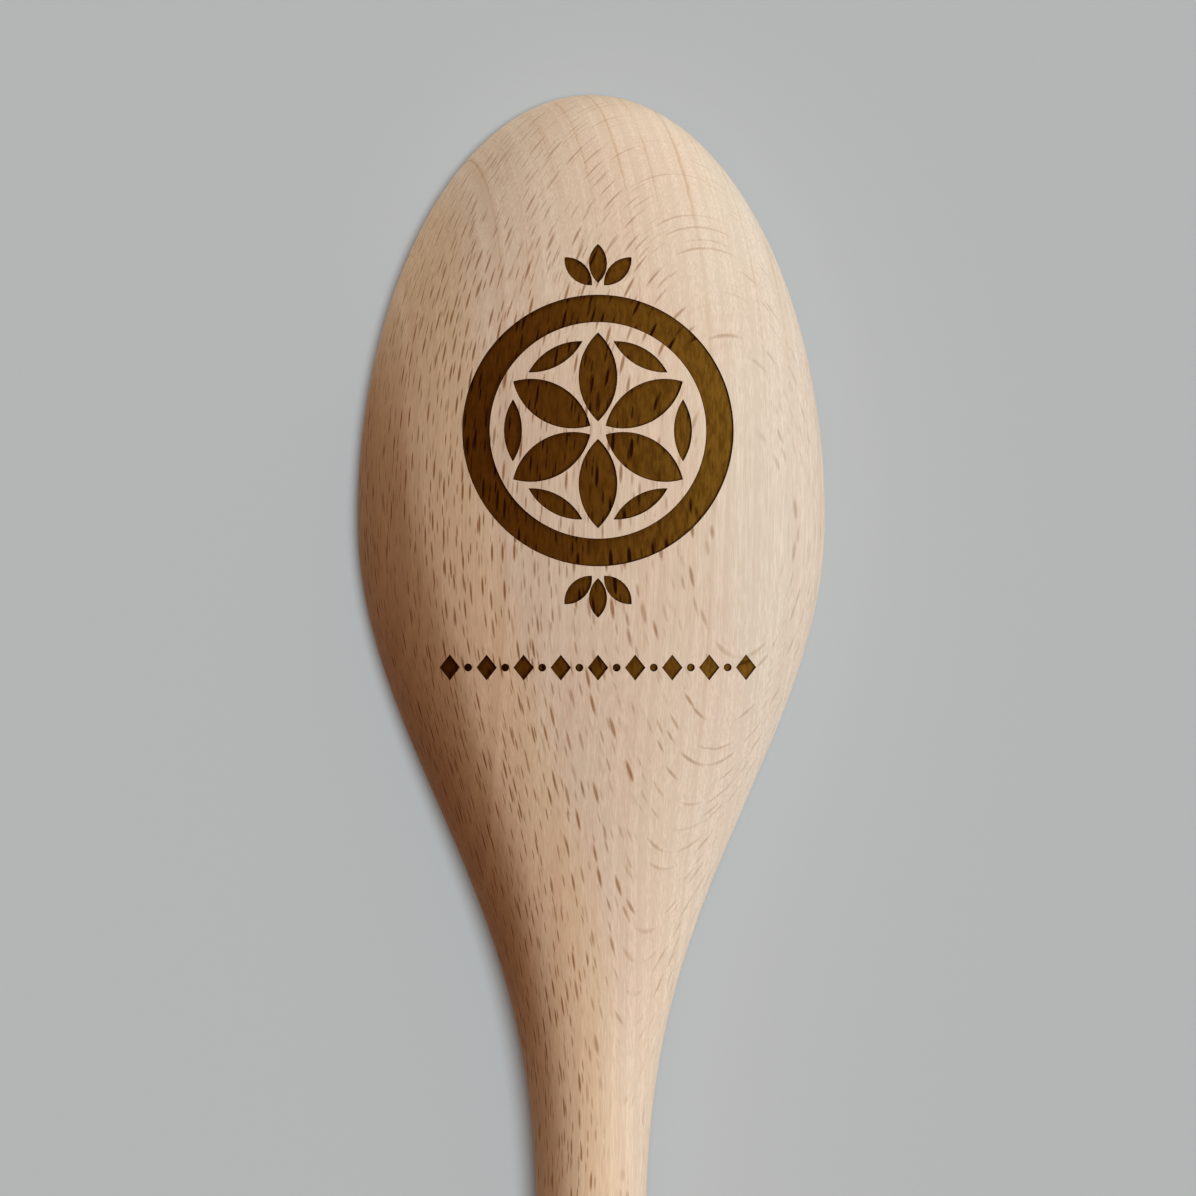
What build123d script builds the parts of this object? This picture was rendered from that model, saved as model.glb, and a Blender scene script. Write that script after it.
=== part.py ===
from build123d import *
import math
import os

# A cooking spoon carved from one piece of beech, lying on the rim of its bowl with the
# convex back up. Lengths are in millimetres. +Y runs along the spoon towards the tip of
# the bowl, +Z is up, and the origin is under the middle of the length, on the surface
# that the spoon lies on.

# Overall sizes
spoon_length = 300.0
bowl_width = 60.0
bowl_height = 18.5

# Outline: half an ellipse ahead of the widest line, a long shoulder behind it
nose_length = 54.5
shoulder_length = 108.0
neck_diameter = 13.6

# Handle: an even round grip, a swell up to it from the neck, and a butt rounded at its edge
grip_diameter = 15.0
swell_length = 45.0
butt_radius = 3.5

# Belly: the height of the bowl's widest line over the rim, and the wood planed off below it
edge_height = 3.0
planing = 6.0

# Hollow: the wood left beside, ahead of and over it, how far it reaches back into the
# shoulder, how far below the rim its centre lies, which sets how steep its wall is, and the
# radius of its lip
side_wall = 4.6
tip_wall = 5.4
floor_thickness = 6.5
heel_share = 0.352
hollow_sink = 8.0
lip_radius = 0.9

# A Bezier quarter is round when its handles reach this share of the way to its corner
round_share = 4 / 3 * (math.sqrt(2) - 1)

# Slices through each loft
nose_steps = 12
shoulder_steps = 8
hollow_steps = 8

# Cuts run this far past the wood, and the lofts meet the handle within this slack
overrun = 10.0
meeting_slack = 0.005

tip_y = spoon_length / 2
widest_y = tip_y - nose_length
neck_y = widest_y - shoulder_length
grip_y = neck_y - swell_length
butt_y = -spoon_length / 2
bowl_radius = bowl_width / 2
neck_radius = neck_diameter / 2
grip_radius = grip_diameter / 2
handle_height = grip_radius


def blend(start, end, share):
    """The value that lies a share of the way from start to end."""
    return start + (end - start) * share


def quarter(centre, side, rise):
    """A quarter of an oval round centre, from the end of side to the end of rise."""
    start = centre + side
    end = centre + rise
    corner = start + rise
    leave = start + (corner - start) * round_share
    arrive = end + (corner - end) * round_share
    return Bezier(start, leave, arrive, end)


def oval(centre, right, ahead, behind):
    """An oval as wide as right on both sides of centre, with its own reach ahead and behind."""
    return Wire(
        [
            quarter(centre, right, ahead),
            quarter(centre, -right, ahead),
            quarter(centre, -right, behind),
            quarter(centre, right, behind),
        ]
    )


def cross_slice(y, half_width, middle, top, bottom):
    """A slice across the blank: its widest line at the middle height, the back over it and
    the belly under it."""
    right = Vector(half_width, 0, 0)
    up = Vector(0, 0, top - middle)
    down = Vector(0, 0, bottom - middle)
    return oval(Vector(0, y, middle), right, up, down)


def nose():
    """The blank ahead of the widest line. Its slices crowd towards the tip."""
    slices = [Vertex(0, tip_y, edge_height)]
    for step in range(1, nose_steps + 1):
        turn = math.pi / 2 * step / nose_steps
        across = math.sin(turn)
        slices.append(
            cross_slice(
                widest_y + nose_length * math.cos(turn),
                bowl_radius * across,
                edge_height,
                blend(edge_height, bowl_height, across),
                blend(edge_height, -planing, across),
            )
        )
    return Solid.make_loft(slices)


def shoulder():
    """The blank behind the widest line, where the bowl fades into the round neck."""
    slices = []
    for step in range(shoulder_steps + 1):
        behind = step / shoulder_steps
        bowl = math.cos(math.pi / 2 * behind) ** 4
        slices.append(
            cross_slice(
                widest_y - shoulder_length * behind,
                blend(neck_radius, bowl_radius, bowl),
                blend(handle_height, edge_height, bowl),
                blend(handle_height + neck_radius, bowl_height, bowl),
                blend(handle_height - neck_radius, -planing, bowl),
            )
        )
    return Solid.make_loft(slices)


def handle():
    """The turned handle, behind the neck."""
    outline = Polyline(
        (0, neck_y),
        (neck_radius, neck_y),
        (grip_radius, grip_y),
        (grip_radius, butt_y),
        (0, butt_y),
        (0, neck_y),
    )
    turned = revolve(make_face(outline), Axis.Y)
    butt = turned.faces().sort_by(Axis.Y)[0]
    rounded = fillet(butt.edges(), butt_radius)
    return (Pos(0, 0, handle_height) * rounded).solid()


def planing_cut():
    """What the plane takes off under the bowl, which leaves a flat rim."""
    length = tip_y + overrun - neck_y
    block = Box(bowl_width + overrun, length, overrun, align=(Align.CENTER, Align.MIN, Align.MAX))
    return Pos(0, neck_y, 0) * block


def hollow_cut():
    """The egg-shaped hollow: flat slices of an ellipsoid whose centre lies below the rim, with
    one reach ahead of the widest line and another behind it."""
    depth = bowl_height - floor_thickness + hollow_sink
    rim = math.sqrt(1 - (hollow_sink / depth) ** 2)
    slices = [Vertex(0, widest_y, depth - hollow_sink)]
    for step in range(1, hollow_steps + 1):
        turn = math.pi / 2 * step / hollow_steps
        spread = math.sin(turn) / rim
        centre = Vector(0, widest_y, depth * math.cos(turn) - hollow_sink)
        right = Vector((bowl_radius - side_wall) * spread, 0, 0)
        ahead = Vector(0, (nose_length - tip_wall) * spread, 0)
        behind = Vector(0, -shoulder_length * heel_share * spread, 0)
        slices.append(oval(centre, right, ahead, behind))
    return Solid.make_loft(slices)


def spoon():
    """The whole spoon: the blank and handle, planed flat, hollowed, and the inner lip rounded."""
    whole = nose().fuse(shoulder(), handle(), tol=meeting_slack)
    carved = whole - planing_cut() - hollow_cut()
    rim_face = carved.faces().filter_by(Axis.Z)[0]
    return fillet(rim_face.inner_wires()[0].edges(), lip_radius)


os.makedirs("parts", exist_ok=True)
piece = spoon()
piece.label = "spoon"
export_step(piece, "parts/spoon.step")
print(f"spoon: {piece.volume / 1000:.1f} cm3, {piece.bounding_box().size}")
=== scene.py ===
import math

import bmesh
import bpy
import numpy as np
from mathutils import Matrix, Vector


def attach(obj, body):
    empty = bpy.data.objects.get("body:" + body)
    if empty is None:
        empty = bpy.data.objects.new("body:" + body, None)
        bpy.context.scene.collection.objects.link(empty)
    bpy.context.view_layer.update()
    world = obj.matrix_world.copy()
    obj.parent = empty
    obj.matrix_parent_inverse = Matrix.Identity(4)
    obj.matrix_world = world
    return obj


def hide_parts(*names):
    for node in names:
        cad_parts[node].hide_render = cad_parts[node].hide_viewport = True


# A beech cooking spoon lying on the rim of its bowl, back up, with a cut and scorched ornament
# on the back. Shapes are worked out in millimetres and put into the meshes in metres.
# +Y runs to the tip of the bowl and +Z is up.

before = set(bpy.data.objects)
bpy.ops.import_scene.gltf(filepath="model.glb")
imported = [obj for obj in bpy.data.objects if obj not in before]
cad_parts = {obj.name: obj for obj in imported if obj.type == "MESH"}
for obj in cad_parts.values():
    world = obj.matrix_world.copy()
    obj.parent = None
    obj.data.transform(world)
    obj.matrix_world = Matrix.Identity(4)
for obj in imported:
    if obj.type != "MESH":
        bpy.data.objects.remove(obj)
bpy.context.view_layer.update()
metre = 1000.0

spoonForm = {
    "tipY": 150.0,
    "widestY": 95.5,
    "neckY": -12.5,
    "gripY": -57.5,
    "buttY": -150.0,
    "bowlHalf": 30.0,
    "topZ": 18.5,
    "edgeZ": 3.0,  # height of the bowl's widest line
    "planing": 6.0,  # wood planed off below the rim
    "neckRadius": 6.8,
    "gripRadius": 7.5,
    "buttRadius": 3.5,
    "hollowHalf": 25.4,
    "hollowAhead": 49.1,
    "hollowBehind": 38.0,
    "hollowZ": 12.0,  # ceiling of the hollow
    "hollowSink": 8.0,  # its centre lies this far below the rim
    "lipRadius": 0.9,
    "tipRows": 24,  # rows of faces from the tip to where the flat rim starts
    "noseRows": 100,  # from there to the widest line
    "heelRows": 79,  # from there to where the flat rim ends
    "neckRows": 36,
    "swellRows": 30,
    "gripRows": 30,
    "buttRows": 11,  # over the rounding
    "buttRings": 4,  # over the flat end
    "crowding": 1.35,  # 1 would space the rows evenly
    "backCells": 120,  # faces across the back
    "bellyCells": 12,  # and from its widest line down to the floor, on each side
    "rimCells": 3,  # and inwards over the flat rim, the lip and the hollow
    "lipCells": 8,
    "hollowCells": 39,
    "mergeBy": 2e-4,  # points closer than this become one
}


def mix(a, b, share):
    return a + (b - a) * share


def handleRadius(y):
    # the neck's radius, plus a sine-squared swell up to the grip, less a quarter circle at the butt
    f = spoonForm
    swell = np.clip((f["neckY"] - y) / (f["neckY"] - f["gripY"]), 0, 1)
    radius = mix(f["neckRadius"], f["gripRadius"], np.sin(np.pi / 2 * swell) ** 2)
    past = np.clip((f["buttY"] + f["buttRadius"] - y) / f["buttRadius"], 0, 1)
    return radius - f["buttRadius"] * (1 - np.sqrt(1 - past**2))


def sectionAt(y):
    # Half width and the heights of widest line, top and bottom of the section at y. Ahead of the
    # widest line they shrink as half an ellipse does; behind it they fade to the handle's circle
    # with the fourth power of a cosine.
    f = spoonForm
    ahead = np.clip((y - f["widestY"]) / (f["tipY"] - f["widestY"]), 0, 1)
    across = np.sqrt(1 - ahead**2)
    behind = np.clip((f["widestY"] - y) / (f["widestY"] - f["neckY"]), 0, 1)
    bowl = np.cos(np.pi / 2 * behind) ** 4
    radius = handleRadius(y)
    axis = f["gripRadius"]  # height of the handle's axis
    inNose = y > f["widestY"]
    half = np.where(inNose, f["bowlHalf"] * across, mix(radius, f["bowlHalf"], bowl))
    middle = np.where(inNose, f["edgeZ"], mix(axis, f["edgeZ"], bowl))
    top = np.where(
        inNose, mix(f["edgeZ"], f["topZ"], across), mix(axis + radius, f["topZ"], bowl)
    )
    bottom = np.where(
        inNose, mix(f["edgeZ"], -f["planing"], across), mix(axis - radius, -f["planing"], bowl)
    )
    return half, middle, top, bottom


def backHeight(x, y):
    # height of the back over the point (x, y): the upper half of the section's ellipse
    half, middle, top, bottom = sectionAt(y)
    return middle + (top - middle) * np.sqrt(np.clip(1 - (x / half) ** 2, 0, 1))


def backNormal(x, y):
    # the outward normal of the back, from its slopes over a short step to each side
    step = 0.02
    slopeX = (backHeight(x + step, y) - backHeight(x - step, y)) / (2 * step)
    slopeY = (backHeight(x, y + step) - backHeight(x, y - step)) / (2 * step)
    normal = np.stack([-slopeX, -slopeY, np.ones_like(slopeX)], axis=-1)
    return normal / np.linalg.norm(normal, axis=-1, keepdims=True)


def gridQuads(rows, columns, first, wrap):
    # the quads of a grid of points numbered row by row from first; wrap joins the last column
    # to the first
    row = np.arange(rows - 1)[:, None]
    column = np.arange(columns if wrap else columns - 1)[None, :]
    here = row * columns + column
    beside = row * columns + (column + 1) % columns
    quads = np.stack([here, beside, beside + columns, here + columns], axis=-1)
    return quads.reshape(-1, 4) + first


def meshFrom(name, grids):
    # One closed mesh out of grids of points in mm. Points that meet are merged, which closes
    # seams and poles, and faces are turned outwards.
    points, quads, first = [], [], 0
    for grid, wrap in grids:
        rows, columns = grid.shape[:2]
        points.append(grid.reshape(-1, 3))
        quads.append(gridQuads(rows, columns, first, wrap))
        first += rows * columns
    mesh = bpy.data.meshes.new(name)
    mesh.from_pydata(np.concatenate(points) / metre, [], np.concatenate(quads).tolist())
    shape = bmesh.new()
    shape.from_mesh(mesh)
    bmesh.ops.remove_doubles(shape, verts=shape.verts, dist=spoonForm["mergeBy"] / metre)
    bmesh.ops.recalc_face_normals(shape, faces=shape.faces)
    shape.to_mesh(mesh)
    shape.free()
    piece = bpy.data.objects.new(name, mesh)
    bpy.context.scene.collection.objects.link(piece)
    return piece


def steps(count):
    # the shares from 0 to 1 at which this many equal steps start and end
    return np.linspace(0, 1, count + 1)


def stationRows():
    # Where the sections lie along the spoon, and how far each is shrunk to close the butt. They
    # crowd where the planed flat starts and ends, because its outline turns fastest there.
    f = spoonForm
    nose = f["tipY"] - f["widestY"]
    shoulder = f["widestY"] - f["neckY"]
    flatStart = math.asin(f["edgeZ"] / (f["edgeZ"] + f["planing"]))
    neckGap = f["gripRadius"] - f["neckRadius"]
    flatEnd = math.acos((neckGap / (neckGap + f["planing"])) ** 0.25) / (math.pi / 2)
    turn = np.concatenate(
        [
            flatStart * steps(f["tipRows"])[:-1],
            mix(flatStart, np.pi / 2, steps(f["noseRows"]) ** f["crowding"]),
        ]
    )
    behind = np.concatenate(
        [
            flatEnd * (1 - (1 - steps(f["heelRows"])[1:]) ** f["crowding"]),
            mix(flatEnd, 1, steps(f["neckRows"])[1:] ** f["crowding"]),
        ]
    )
    roundY = f["buttY"] + f["buttRadius"]
    y = np.concatenate(
        [
            f["widestY"] + nose * np.cos(turn),
            f["widestY"] - shoulder * behind,
            mix(f["neckY"], f["gripY"], steps(f["swellRows"])[1:]),
            mix(f["gripY"], roundY, steps(f["gripRows"])[1:]),
            roundY - f["buttRadius"] * np.sin(np.pi / 2 * steps(f["buttRows"])[1:]),
            np.full(f["buttRings"], f["buttY"]),
        ]
    )
    shrink = np.ones_like(y)
    shrink[-f["buttRings"] :] = 1 - steps(f["buttRings"])[1:]
    firstOpen = f["tipRows"]
    lastOpen = firstOpen + f["noseRows"] + f["heelRows"]
    return y, shrink, firstOpen, lastOpen


def skinGrid(y, shrink):
    # The outside: every section is an upper and a lower half ellipse on one widest line, and the
    # lower one starts and ends where it meets the floor.
    f = spoonForm
    half, middle, top, bottom = [value[:, None] for value in sectionAt(y)]
    reach = np.maximum(middle - bottom, 1e-9)  # nothing at the tip
    start = -np.arcsin(np.clip(middle / reach, 0, 1))
    belly = steps(f["bellyCells"])[None, :]
    back = np.linspace(0, np.pi, f["backCells"] + 1)[None, 1:-1] + 0 * start
    angle = np.concatenate([start * (1 - belly), back, np.pi - start * belly], axis=1)
    lift = np.where(np.sin(angle) > 0, top - middle, middle - bottom)
    shrink = shrink[:, None]
    x = half * shrink * np.cos(angle)
    z = middle + lift * shrink * np.sin(angle)
    return np.stack([x, y[:, None] + 0 * x, z], axis=-1)


def undersideGrid(skin, firstOpen, lastOpen):
    # The flat rim, the rounded lip and the hollow as one grid round the bowl: straight from the
    # outline to the lip, a quadratic curve over the lip, then up an ellipsoid whose centre lies
    # below the rim.
    f = spoonForm
    right = skin[firstOpen : lastOpen + 1, 0]
    left = skin[firstOpen : lastOpen + 1, -1][::-1]
    outline = np.concatenate([right, left[1:-1]])
    outline[:, 2] = 0
    ahead = outline[:, 1] - f["widestY"]
    reach = np.where(ahead > 0, f["hollowAhead"], f["hollowBehind"])
    angle = np.arctan2(ahead / reach, outline[:, 0] / f["hollowHalf"])
    depth = f["hollowZ"] + f["hollowSink"]
    rimCos = f["hollowSink"] / depth
    rimSin = math.sqrt(1 - rimCos**2)

    def hollowAt(turn):
        # the ring of the ellipsoid at this turn from its top
        spread = np.sin(turn) / rimSin
        x = f["hollowHalf"] * spread * np.cos(angle)
        y = f["widestY"] + reach * spread * np.sin(angle)
        return np.stack([x, y, depth * np.cos(turn) - f["hollowSink"] + 0 * x], axis=-1)

    edge = hollowAt(np.full_like(angle, math.acos(rimCos)))
    outward = np.stack(
        [np.cos(angle) / f["hollowHalf"], np.sin(angle) / reach, 0 * angle], axis=-1
    )
    steep = np.linalg.norm(outward, axis=1) * rimSin**2
    lean = np.arctan2(rimCos / depth, steep)
    cut = f["lipRadius"] * np.tan((np.pi / 2 - lean) / 2)
    outward /= np.linalg.norm(outward, axis=1, keepdims=True)
    flatEdge = edge + outward * cut[:, None]
    wallTurn = np.arccos((cut * np.cos(lean) + f["hollowSink"]) / depth)
    wallEdge = hollowAt(wallTurn)
    rows = [mix(outline, flatEdge, share) for share in steps(f["rimCells"])]
    for share in steps(f["lipCells"])[1:]:
        rows.append(mix(mix(flatEdge, edge, share), mix(edge, wallEdge, share), share))
    for share in steps(f["hollowCells"])[1:]:
        rows.append(hollowAt(wallTurn * (1 - share)))
    return np.stack(rows)


rowY, rowShrink, firstOpen, lastOpen = stationRows()
skin = skinGrid(rowY, rowShrink)
underside = undersideGrid(skin, firstOpen, lastOpen)
spoon = meshFrom("beechSpoon", [(skin, False), (underside, True)])
print("spoon surface:", len(spoon.data.polygons), "faces")

# Ornament: a ringed six-petal rosette with a fan of leaves over and under it, and a row of
# lozenges and dots below. Cells are the faces of each cutter, lengthwise and across.
ornament = {
    "centre": (0.84, 106.6),
    "depth": 0.24,
    "clearance": 0.8,  # how far the cutters stand over the back
    "ringRadii": (13.7, 17.2),
    "ringCells": (144, 4),
    "petals": 6,
    "petal": (1.1, 12.4, 4.9),  # from, to, width
    "petalCells": (24, 6),
    "chord": (10.75, 7.9, 2.3),  # distance from the centre, length, width
    "chordCells": (16, 4),
    "fanFoot": 17.6,
    "leaf": (1.1, 6.1, 2.3),  # from, to, width
    "leafSpread": 44,  # degrees between leaves
    "leafCells": (12, 4),
    "rowY": 76.6,
    "rowPitch": 4.7,
    "rowCount": 9,
    "lozenge": (3.3, 2.6),  # height, width
    "lozengeCells": (6, 4),
    "dotRadius": 0.5,
    "dotCells": (12, 2),
    "zone": ((-24, 66, 4), (24, 136, 20)),  # the box of the back that holds it all
    "backFacing": 0.9,  # a face's normal times the back's: under this it is a groove's wall
    "sharpAngle": 30,  # degrees
}


def groove(left, right, cells, wrap=False):
    # A closed cutter between two lines in plan: its floor lies the ornament's depth under the
    # back, measured square to the back, and its roof lies clear over the back.
    plan = left[:, None] + (right - left)[:, None] * steps(cells)[None, :, None]
    x, y = plan[..., 0], plan[..., 1]
    height = backHeight(x, y)
    under = np.stack([x, y, height - ornament["depth"] / backNormal(x, y)[..., 2]], axis=-1)
    over = np.stack([x, y, height + ornament["clearance"]], axis=-1)
    loop = np.concatenate([under, over[:, ::-1]], axis=1)
    if wrap:
        loop = np.concatenate([loop, loop[:1]])
    return loop


def lens(start, end, width, cells):
    # a groove between two circle arcs from start to end, width apart in the middle
    along = end - start
    length = np.linalg.norm(along)
    along /= length
    side = np.array([-along[1], along[0]])
    radius = (length**2 / 4 + width**2 / 4) / width
    reach = (1 - np.cos(np.pi * steps(cells[0]))) / 2 * length
    bulge = np.sqrt(radius**2 - (reach - length / 2) ** 2) - (radius - width / 2)
    line = start + reach[:, None] * along
    side = bulge[:, None] * side
    return groove(line + side, line - side, cells[1])


def upright(x, heights, halfWidths, cells):
    # a groove round the upright line at x
    line = np.stack([x + 0 * heights, heights], axis=-1)
    side = np.stack([halfWidths, 0 * heights], axis=-1)
    return groove(line - side, line + side, cells)


def ray(degrees):
    # the direction that lies this far from +Y, turning towards +X
    angle = math.radians(degrees)
    return np.array([math.sin(angle), math.cos(angle)])


def rosette():
    # a ring, petals from its centre outwards, and a lens across the gap between each two petals
    o = ornament
    centre = np.array(o["centre"])
    around = 2 * np.pi * steps(o["ringCells"][0])[:-1]
    spoke = np.stack([np.sin(around), np.cos(around)], axis=-1)
    inner, outer = [centre + radius * spoke for radius in o["ringRadii"]]
    grooves = [groove(inner, outer, o["ringCells"][1], wrap=True)]
    begin, end, width = o["petal"]
    distance, chordLength, chordWidth = o["chord"]
    pitch = 360 / o["petals"]
    for place in range(o["petals"]):
        way = ray(place * pitch)
        grooves.append(lens(centre + way * begin, centre + way * end, width, o["petalCells"]))
        way = ray((place + 0.5) * pitch)
        middle = centre + way * distance
        reach = np.array([way[1], -way[0]]) * chordLength / 2
        grooves.append(lens(middle - reach, middle + reach, chordWidth, o["chordCells"]))
    return grooves


def fans():
    # leaves that spread from a foot just outside the ring, at its top and at its bottom
    o = ornament
    begin, end, width = o["leaf"]
    grooves = []
    for turn in (0, 180):
        foot = np.array(o["centre"]) + ray(turn) * o["fanFoot"]
        for leaf in (-1, 0, 1):
            way = ray(turn + leaf * o["leafSpread"])
            grooves.append(lens(foot + way * begin, foot + way * end, width, o["leafCells"]))
    return grooves


def lozengeRow():
    # lozenges at an even pitch, whose half width falls evenly to both ends, and round dots
    # halfway between them
    o = ornament
    height, width = o["lozenge"]
    share = mix(-1, 1, steps(o["lozengeCells"][0]))
    turn = np.pi * steps(o["dotCells"][0])
    grooves = []
    for place in range(o["rowCount"]):
        x = o["centre"][0] + (place - (o["rowCount"] - 1) / 2) * o["rowPitch"]
        heights = o["rowY"] + share * height / 2
        grooves.append(upright(x, heights, (1 - np.abs(share)) * width / 2, o["lozengeCells"][1]))
        if place:
            heights = o["rowY"] - o["dotRadius"] * np.cos(turn)
            halfWidths = o["dotRadius"] * np.sin(turn)
            grooves.append(upright(x - o["rowPitch"] / 2, heights, halfWidths, o["dotCells"][1]))
    return grooves


class Shade:
    # A socket of a material's nodes. Operators on it add Math nodes; make adds any other node.
    def __init__(self, tree, socket):
        self.tree = tree
        self.socket = socket

    @staticmethod
    def make(tree, kind, settings, inputs, output=0):
        node = tree.nodes.new(kind)
        for name, value in settings.items():
            setattr(node, name, value)
        for name, value in inputs.items():
            if isinstance(value, Shade):
                tree.links.new(value.socket, node.inputs[name])
            else:
                node.inputs[name].default_value = value
        return Shade(tree, node.outputs[output])

    def maths(self, operation, other=0.0):
        inputs = {0: self, 1: other}
        return Shade.make(self.tree, "ShaderNodeMath", {"operation": operation}, inputs)

    def reflected(self, operation, other):
        inputs = {0: other, 1: self}
        return Shade.make(self.tree, "ShaderNodeMath", {"operation": operation}, inputs)

    def __add__(self, other):
        return self.maths("ADD", other)

    def __mul__(self, other):
        return self.maths("MULTIPLY", other)

    __radd__ = __add__
    __rmul__ = __mul__

    def __sub__(self, other):
        return self.maths("SUBTRACT", other)

    def __rsub__(self, other):
        return self.reflected("SUBTRACT", other)

    def __truediv__(self, other):
        return self.maths("DIVIDE", other)

    def __rtruediv__(self, other):
        return self.reflected("DIVIDE", other)

    def __pow__(self, other):
        return self.maths("POWER", other)

    def __rpow__(self, other):
        return self.reflected("POWER", other)

    def vector(self, operation, other, output=0):
        settings = {"operation": operation}
        inputs = {0: self, 1: other}
        return Shade.make(self.tree, "ShaderNodeVectorMath", settings, inputs, output)

    def dot(self, direction):
        return self.vector("DOT_PRODUCT", direction, "Value")

    def part(self, axis):
        return Shade.make(self.tree, "ShaderNodeSeparateXYZ", {}, {0: self}, axis)

    def ramp(self, low, high):
        # smooth step: 0 at low, 1 at high
        settings = {"interpolation_type": "SMOOTHSTEP"}
        inputs = {"Value": self, "From Min": low, "From Max": high}
        return Shade.make(self.tree, "ShaderNodeMapRange", settings, inputs)

    def rise(self, band):
        # smooth step from 0 to the band's amount, between its low and high value
        low, high, amount = band
        return self.ramp(low, high) * amount

    def fall(self, band):
        # the same, but from the amount to 0
        low, high, amount = band
        return (1 - self.ramp(low, high)) * amount

    def noise(self, detail, roughness=0.5, output=0):
        # one wave in each unit of this place
        inputs = {"Vector": self, "Scale": 1.0, "Detail": detail, "Roughness": roughness}
        return Shade.make(self.tree, "ShaderNodeTexNoise", {}, inputs, output)

    def blend(self, low, high, kind="MIX"):
        # mixes two colours by this value, on the Mix node's colour sockets
        settings = {"data_type": "RGBA", "blend_type": kind}
        return Shade.make(self.tree, "ShaderNodeMix", settings, {0: self, 6: low, 7: high}, 2)


def packed(tree, x, y, z):
    return Shade.make(tree, "ShaderNodeCombineXYZ", {}, {0: x, 1: y, 2: z})


def newMaterial(name):
    material = bpy.data.materials.new(name)
    material.use_nodes = True
    return material, material.node_tree, material.node_tree.nodes["Principled BSDF"]


beechLook = {
    "radial": (-0.91, 0.0, 0.42),  # the way the rays run, from the outside of the tree in
    "tangent": (0.42, 0.0, 0.91),
    "bendWaves": (0.02, 0.012, 0.02),  # how often in a mm the grain wanders, and how far
    "bendReach": (7.0, 0.0, 7.0),
    "ringAxis": 90,  # the rings curve round an axis this far back along radial
    "ringTilt": 0.004,  # how much they lean along the spoon
    "ringWaves": 0.85,  # the bands between them, in waves a mm
    "years": 0.27,  # years a mm
    "yearDrift": (0.16, 1.6),  # waves a mm and years by which growth varied
    "yearEnd": (0.86, 0.99),  # the thin darker end of each year's growth
    "yearRagged": 0.14,
    "yearLeast": 0.3,  # how plain a year's end is, and what more the nose and the clouds give it
    "yearNose": (0.1, 0.45, 0.6),
    "yearCloud": (0.38, 0.6, 0.7),
    "fibre": (6, 0.22),  # waves a mm across and along the grain
    "mottle": (1.7, 0.55),
    "cloud": (0.12, 0.03, 0.12),
    "outer": (0.78, 0.645, 0.518, 1),  # pale wood from the outside of the tree
    "middle": (0.825, 0.63, 0.475, 1),
    "warm": (0.88, 0.625, 0.415, 1),  # a lighter band before the browner wood: partly its own tone, partly the start of the painted shade
    "inner": (0.62, 0.366, 0.195, 1),  # browner wood from further in, with painted shade on the side the key light leaves dark
    "outerTo": (-20.0, 2.0),  # mm along radial over which each passes into the next
    "warmTo": (8.5, 15.0),
    "innerAndShadeTo": (17.2, 20.6),
    "drawn": (9.0, 69.0, 30.0),  # how far the last two draw in towards the neck, where, how gently
    "deep": (0.84, 0.80, 0.765, 1),  # colours that the marks multiply the wood by
    "late": (0.85, 0.74, 0.62, 1),
    "rosy": (1.0, 0.93, 0.92, 1),
    "ray": (0.41, 0.25, 0.115, 1),
    # a band of three numbers: the low and high value of what it is read from, and the amount
    "ringStreaks": (0.36, 0.64, 0.65),
    "fibreStreaks": (0.39, 0.61, 0.65),
    "mottleStreaks": (0.35, 0.65, 0.25),
    "rosyClouds": (0.4, 0.6, 0.4),
    "rosyMottle": (0.35, 0.65, 0.4),
    # scorched colour, darker towards -X: partly the browner wood under it, partly painted shade on
    # the side away from the key light
    "charOuter": (0.215, 0.10, 0.012, 1),
    "charInnerAndShade": (0.108, 0.031, 0.003, 1),
    "charTo": (-20.0, 22.0),
    "charDark": (0.024, 0.005, 0.001, 1),
    # dark colour of the streaks and of a band along the groove's edge; that band is partly the
    # burnt outline and partly painted shade from the groove's wall
    "charStreakAndEdgeShade": (0.055, 0.017, 0.002, 1),
    "charEdgeWidth": 0.2,
    "charFibre": (0.3, 0.7, 0.25),
    "charMottle": (0.35, 0.65, 0.45),
    "charFlecks": 1.6,
    "roughness": (0.62, 0.12),  # even, and what the fibre adds
    "charRoughness": (0.7, 0.15),
    "relief": (0.25, 0.15),  # how far the fibre stands up and the rays sink in
    "charRelief": (0.8, 0.2),
    "bump": (0.35, 0.00006),  # strength and distance, in m
    "specular": 0.15,
    # rays: the pattern's cell and half the size of a ray, each in mm along tangent, spoon and
    # radial, a shift that picks the pattern's place, and the share of the ray at full strength
    "broadRays": {"cell": (0.85, 3.7, 14.0), "half": (0.13, 1.8, 9.0), "shift": 0.0, "full": 0.4},
    "fineRays": {"cell": (0.6, 2.6, 9.0), "half": (0.085, 1.2, 6.0), "shift": 31.7, "full": 0.4},
    "arcRays": {"cell": (0.5, 3.0, 22.0), "half": (0.07, 1.35, 12.0), "shift": 12.9, "full": 0.35},
    "scatter": 0.85,  # how far a ray's centre may lie from the middle of its cell
    "chance": (0.0, 0.65),  # over which a cell's random number makes its ray stronger
    "cutAcross": (0.05, 0.32),  # facing over which rays pass from cut along to cut across
    "slopeCounts": 0.4,  # how much a slope to the tip takes from that facing
    "thinned": 1.5,  # how much thinner the rays get where they are cut along
    "fineAcross": 0.55,
    "fineInward": (0.3, 0.7, 0.35),
    "dashCut": (0.0, 0.6),
    "dashLeast": 0.3,
    "dashMiddle": (-0.4, -0.05, 0.55),
    "dashInward": (0.3, 0.75, 0.15),
    "arcFlat": (0.995, 0.9992, 0.85),
    "arcLeast": 0.36,
    "arcInward": (-0.1, 0.2, 0.3),
    "arcCut": (0.3, 1.0),
    "noseFades": (0.1, 0.4, 0.45),
}


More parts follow.
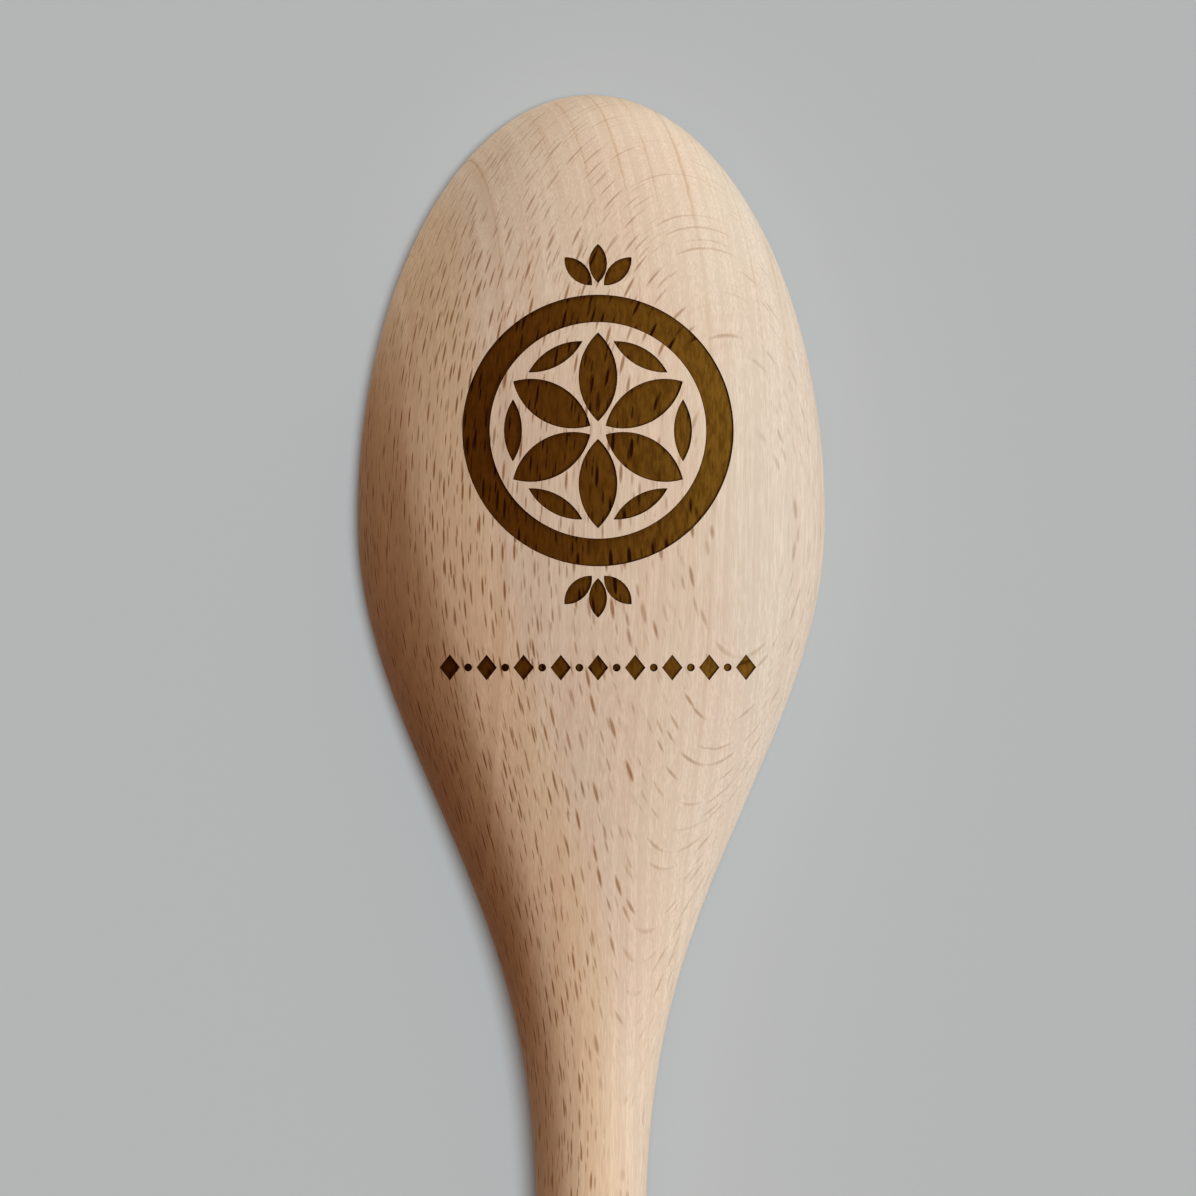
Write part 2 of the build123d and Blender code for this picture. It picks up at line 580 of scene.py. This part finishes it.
def rayLens(tree, grain, rays, thinner=1.0):
    # each cell of a stretched Voronoi pattern holds one thin upright lens of random strength
    radial, tangent, along = grain
    cell = rays["cell"]
    look = beechLook
    place = packed(
        tree,
        tangent * (1 / cell[0]) + rays["shift"],
        along * (1 / cell[1]),
        radial * (1 / cell[2]),
    )
    settings = {"feature": "F1", "voronoi_dimensions": "3D"}
    inputs = {"Vector": place, "Scale": 1.0, "Randomness": look["scatter"]}
    centre = Shade.make(tree, "ShaderNodeTexVoronoi", settings, inputs, "Position")
    chance = Shade.make(tree, "ShaderNodeTexVoronoi", settings, inputs, "Color").part(0)
    scale = tuple(size / half for size, half in zip(cell, rays["half"]))
    away = place.vector("SUBTRACT", centre).vector("MULTIPLY", scale)
    away = away.vector("MULTIPLY", packed(tree, thinner, 1.0, 1.0))
    distance = away.vector("LENGTH", (0, 0, 0), "Value")
    return chance.ramp(*look["chance"]) * (1 - distance.ramp(rays["full"], 1.0))


def rayFlecks(tree, grain, normal):
    # A ray cut across shows as a short dash. Thinner rays cut at a low angle show as long lines,
    # and as wide arcs where the back turns over, and fade where they would be cut flat. All
    # are weaker on the nose, which faces the tip.
    look = beechLook
    inward = normal.dot(look["radial"])  # 1 where the browner side faces out
    lengthwise = normal.part(1)
    across = inward.maths("ABSOLUTE") - lengthwise.maths("ABSOLUTE") * look["slopeCounts"]
    across = across.ramp(*look["cutAcross"])  # 1 where rays are cut across, 0 where along
    thinner = 1 + (1 - across) * look["thinned"]
    broad = rayLens(tree, grain, look["broadRays"], thinner)
    fine = rayLens(tree, grain, look["fineRays"], thinner)
    fine *= across * look["fineAcross"] + inward.rise(look["fineInward"])
    dashes = broad.maths("MAXIMUM", fine) * across.ramp(*look["dashCut"])
    dashes *= (
        look["dashLeast"] + inward.rise(look["dashMiddle"]) + inward.rise(look["dashInward"])
    )
    flat = normal.dot(look["tangent"]).maths("ABSOLUTE")
    arcs = rayLens(tree, grain, look["arcRays"])
    arcs *= 1 - flat.rise(look["arcFlat"])
    arcs *= look["arcLeast"] + inward.rise(look["arcInward"])  # more on the browner side
    arcs *= 1 - across.ramp(*look["arcCut"])
    return dashes.maths("MAXIMUM", arcs) * (1 - lengthwise.rise(look["noseFades"]))


def grainNoise(tree, grain, waves):
    # noise drawn out along the grain
    radial, tangent, along = grain
    across, lengthwise = waves
    place = packed(tree, tangent * across, along * lengthwise, radial * across)
    return place.noise(detail=3.0, roughness=0.6)


def beechPattern(tree):
    # place in the tree the spoon was cut from, gently bent, and the marks that follow from it
    look = beechLook
    place = Shade.make(tree, "ShaderNodeTexCoord", {}, {}, "Object")
    place = place.vector("MULTIPLY", (metre, metre, metre))
    bend = place.vector("MULTIPLY", look["bendWaves"]).noise(detail=1.0, output="Color")
    bend = bend.vector("SUBTRACT", (0.5, 0.5, 0.5)).vector("MULTIPLY", look["bendReach"])
    bent = place.vector("ADD", bend)
    radial = bent.dot(look["radial"])
    tangent = bent.dot(look["tangent"])
    along = bent.part(1)
    grain = (radial, tangent, along)
    normal = Shade.make(tree, "ShaderNodeTexCoord", {}, {}, "Normal")
    ringPlace = ((radial + look["ringAxis"]) ** 2 + tangent**2) ** 0.5
    ringPlace = ringPlace + along * look["ringTilt"]
    fibre = grainNoise(tree, grain, look["fibre"])
    mottle = grainNoise(tree, grain, look["mottle"])
    cloud = bent.vector("MULTIPLY", look["cloud"]).noise(detail=2.0)
    driftWaves, drift = look["yearDrift"]
    years = ringPlace * look["years"]
    years = years + packed(tree, ringPlace * driftWaves, 0.0, 0.0).noise(detail=1.0) * drift
    late = (years + mottle * look["yearRagged"]).maths("FRACT").ramp(*look["yearEnd"])
    late *= look["yearLeast"] + normal.part(1).rise(look["yearNose"])
    late *= look["yearLeast"] + cloud.rise(look["yearCloud"])
    rings = packed(tree, ringPlace * look["ringWaves"], 0.0, 0.0)
    return {
        "radial": radial,
        "along": along,
        "flecks": rayFlecks(tree, grain, normal),
        "rings": rings.noise(detail=3.0, roughness=0.6),
        "late": late,
        "fibre": fibre,
        "mottle": mottle,
        "cloud": cloud,
    }


def bareColour(marks):
    look = beechLook
    # From +X to -X the wood turns pale, warm, then browner. This is partly its own tone and partly
    # painted shade on the side away from the key light.
    colour = marks["radial"].ramp(*look["outerTo"]).blend(look["outer"], look["middle"])
    most, middle, length = look["drawn"]
    browningAndShade = ((middle - marks["along"]) / length).maths("TANH") * most + marks["radial"]
    colour = browningAndShade.ramp(*look["warmTo"]).blend(colour, look["warm"])
    colour = browningAndShade.ramp(*look["innerAndShadeTo"]).blend(colour, look["inner"])
    dark = marks["rings"].fall(look["ringStreaks"]) + marks["fibre"].fall(look["fibreStreaks"])
    dark = dark + marks["mottle"].fall(look["mottleStreaks"])
    rosy = marks["cloud"].rise(look["rosyClouds"]) + marks["mottle"].rise(look["rosyMottle"])
    colour = dark.blend(colour, look["deep"], "MULTIPLY")
    colour = marks["late"].blend(colour, look["late"], "MULTIPLY")
    colour = rosy.blend(colour, look["rosy"], "MULTIPLY")
    return marks["flecks"].blend(colour, look["ray"], "MULTIPLY")


def scorchedColour(tree, marks):
    # browner towards -X like the wood, and there partly painted shade; darkest at the groove's
    # edge, a burnt outline with painted shade from its wall, and in the rays
    look = beechLook
    edge = Shade.make(tree, "ShaderNodeAttribute", {"attribute_name": "edge"}, {}, "Fac")
    colour = marks["radial"].ramp(*look["charTo"]).blend(look["charOuter"], look["charInnerAndShade"])
    streak = marks["fibre"].fall(look["charFibre"]) + marks["mottle"].fall(look["charMottle"])
    colour = streak.blend(colour, look["charStreakAndEdgeShade"])
    # a darker band along the groove's edge: burnt outline and painted shade from the wall
    colour = (1 - edge.ramp(0.0, look["charEdgeWidth"])).blend(colour, look["charStreakAndEdgeShade"])
    return (marks["flecks"] * look["charFlecks"]).blend(colour, look["charDark"])


def beech(name, charred):
    look = beechLook
    material, tree, shader = newMaterial(name)
    marks = beechPattern(tree)
    colour = scorchedColour(tree, marks) if charred else bareColour(marks)
    even, added = look["charRoughness" if charred else "roughness"]
    rough = even + marks["fibre"] * added
    stands, sinks = look["charRelief" if charred else "relief"]
    height = marks["fibre"] * stands - marks["flecks"] * sinks
    strength, distance = look["bump"]
    inputs = {"Height": height, "Strength": strength, "Distance": distance}
    bump = Shade.make(tree, "ShaderNodeBump", {}, inputs)
    tree.links.new(colour.socket, shader.inputs["Base Color"])
    tree.links.new(rough.socket, shader.inputs["Roughness"])
    tree.links.new(bump.socket, shader.inputs["Normal"])
    shader.inputs["Specular IOR Level"].default_value = 0.0 if charred else look["specular"]
    return material


for material in (beech("beechWood", False), beech("beechScorched", True)):
    spoon.data.materials.append(material)
print("materials made")


def carve(piece, grooves):
    # cuts the grooves into the piece; their faces take its second material
    cutter = meshFrom("ornamentCutter", [(loop, True) for loop in grooves])
    for material in piece.data.materials:
        cutter.data.materials.append(material)
    cutter.data.polygons.foreach_set("material_index", [1] * len(cutter.data.polygons))
    cut = piece.modifiers.new("ornament", "BOOLEAN")
    cut.operation = "DIFFERENCE"
    cut.solver = "EXACT"
    cut.material_mode = "INDEX"
    cut.object = cutter
    bpy.context.view_layer.update()
    seen = piece.evaluated_get(bpy.context.evaluated_depsgraph_get())
    carved = bpy.data.meshes.new_from_object(seen)
    piece.modifiers.remove(cut)
    piece.data = carved
    carved.name = piece.name
    bpy.data.objects.remove(cutter)


def readAll(items, name, kind, width=1):
    # one property of all the items as an array, in rows where it has several numbers
    values = np.empty(len(items) * width, kind)
    items.foreach_get(name, values)
    return values.reshape(-1, width) if width > 1 else values


def finishCarving(mesh, grooves):
    # Normals come from the formula of the back where the cut has left uneven faces, and each
    # point of the grooves keeps its distance to the groove's edge.
    points = readAll(mesh.vertices, "co", float, 3) * metre
    cornerPoint = readAll(mesh.loops, "vertex_index", int)
    faceCorners = readAll(mesh.polygons, "loop_total", int)
    faceNormal = readAll(mesh.polygons, "normal", float, 3)
    charredFace = readAll(mesh.polygons, "material_index", int) == 1
    cornerFace = np.repeat(np.arange(len(faceCorners)), faceCorners)
    charred = charredFace[cornerFace]
    low, high = np.array(ornament["zone"])
    at = points[cornerPoint]
    near = np.all((at > low) & (at < high), axis=1)
    ideal = np.zeros_like(at)
    ideal[near] = backNormal(at[near, 0], at[near, 1])
    facing = np.sum(faceNormal[cornerFace] * ideal, axis=1)
    mesh.shade_smooth()
    mesh.set_sharp_from_angle(angle=math.radians(ornament["sharpAngle"]))
    normals = readAll(mesh.corner_normals, "vector", np.float32, 3)
    onBack = near & (facing > ornament["backFacing"])
    normals[onBack] = ideal[onBack]
    wall = charred & (facing <= ornament["backFacing"])
    normals[wall] = faceNormal[cornerFace][wall]
    mesh.normals_split_custom_set(normals.tolist())
    outline = []
    for loop in grooves:
        lastColumn = loop.shape[1] // 2 - 1
        outline += [loop[:, 0, :2], loop[:, lastColumn, :2]]
    outline = np.concatenate(outline)
    inGroove = np.unique(cornerPoint[charred])
    away = np.linalg.norm(points[inGroove, None, :2] - outline[None], axis=2)
    edge = np.zeros(len(points), np.float32)
    edge[inGroove] = away.min(axis=1)
    mesh.attributes.new("edge", "FLOAT", "POINT").data.foreach_set("value", edge)


ornamentGrooves = rosette() + fans() + lozengeRow()
carve(spoon, ornamentGrooves)
print("ornament cut:", len(spoon.data.polygons), "faces")

finishCarving(spoon.data, ornamentGrooves)
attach(spoon, "root")
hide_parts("spoon")
print("spoon finished")

stageLook = {
    "floor": (0.55, 0.55, 0.55, 1),
    "floorBounce": (0.165, 0.145, 0.132, 1),  # what the floor throws back at the spoon
    "floorHalf": 1500.0,
    "floorRoughness": 0.9,
    "floorSpecular": 0.2,
    "ambient": (0.195, 0.095, 0.052, 1),  # weak light from all round
    "backdrop": (0.85, 0.85, 0.85, 1),  # what shows beyond the floor
    "camera": (0.84, 85.4, 900.0),
    "frameWidth": 153.66,  # mm across the picture at the height of the widest line
    "sensor": 36,
    # suns: power, colour, where the light comes from, and the sun's width in degrees
    "key": (3.3, (0.79, 0.93, 1.0), (0.80, -0.25, 0.54), 26),
    "top": (2.46, (0.80, 0.945, 1.0), (0.14, 0.04, 0.99), 24),
    "fill": (2.36, (0.84, 1.0, 1.0), (-0.07, 0.96, 0.27), 36),
}


def seenDirectly(tree):
    # 1 where the camera, a reflection or a view through glass sees it, 0 where it lights things
    seen = Shade.make(tree, "ShaderNodeLightPath", {}, {}, "Is Camera Ray")
    for path in ("Is Glossy Ray", "Is Transmission Ray"):
        seen = seen.maths("MAXIMUM", Shade.make(tree, "ShaderNodeLightPath", {}, {}, path))
    return seen


def paleFloor():
    half = stageLook["floorHalf"] / metre
    corners = [(-half, -half, 0), (half, -half, 0), (half, half, 0), (-half, half, 0)]
    mesh = bpy.data.meshes.new("floor")
    mesh.from_pydata(corners, [], [(0, 1, 2, 3)])
    material, tree, shader = newMaterial("paleFloor")
    colour = seenDirectly(tree).blend(stageLook["floorBounce"], stageLook["floor"])
    tree.links.new(colour.socket, shader.inputs["Base Color"])
    shader.inputs["Roughness"].default_value = stageLook["floorRoughness"]
    shader.inputs["Specular IOR Level"].default_value = stageLook["floorSpecular"]
    mesh.materials.append(material)
    piece = bpy.data.objects.new("floor", mesh)
    bpy.context.scene.collection.objects.link(piece)
    return piece


def softSun(name, look, lit):
    # a wide sun that lights one piece alone; every piece still shades it
    power, colour, comesFrom, angle = look
    sun = bpy.data.lights.new(name, "SUN")
    sun.energy = power
    sun.color = colour
    sun.angle = math.radians(angle)
    lamp = bpy.data.objects.new(name, sun)
    lamp.matrix_world = Vector(comesFrom).to_track_quat("Z", "Y").to_matrix().to_4x4()
    bpy.context.scene.collection.objects.link(lamp)
    group = bpy.data.collections.new(name + "Lit")
    group.objects.link(lit)
    lamp.light_linking.receiver_collection = group


floor = paleFloor()

world = bpy.data.worlds.new("studio")
world.use_nodes = True
bpy.context.scene.world = world
sky = world.node_tree
skyColour = seenDirectly(sky).blend(stageLook["ambient"], stageLook["backdrop"])
sky.links.new(skyColour.socket, sky.nodes["Background"].inputs["Color"])

softSun("keyLight", stageLook["key"], spoon)
softSun("topLight", stageLook["top"], floor)
softSun("fillLight", stageLook["fill"], spoon)

camera = bpy.data.cameras.new("camera")
camera.sensor_width = stageLook["sensor"]
cameraPlace = Vector(stageLook["camera"])
reachToEdge = cameraPlace.z - spoonForm["edgeZ"]
camera.lens = stageLook["sensor"] * reachToEdge / stageLook["frameWidth"]
cameraObject = bpy.data.objects.new("camera", camera)
cameraObject.matrix_world = Matrix.Translation(cameraPlace / metre)
bpy.context.scene.collection.objects.link(cameraObject)
bpy.context.scene.camera = cameraObject
bpy.context.scene.view_settings.view_transform = "Standard"
print("stage, light and camera set")
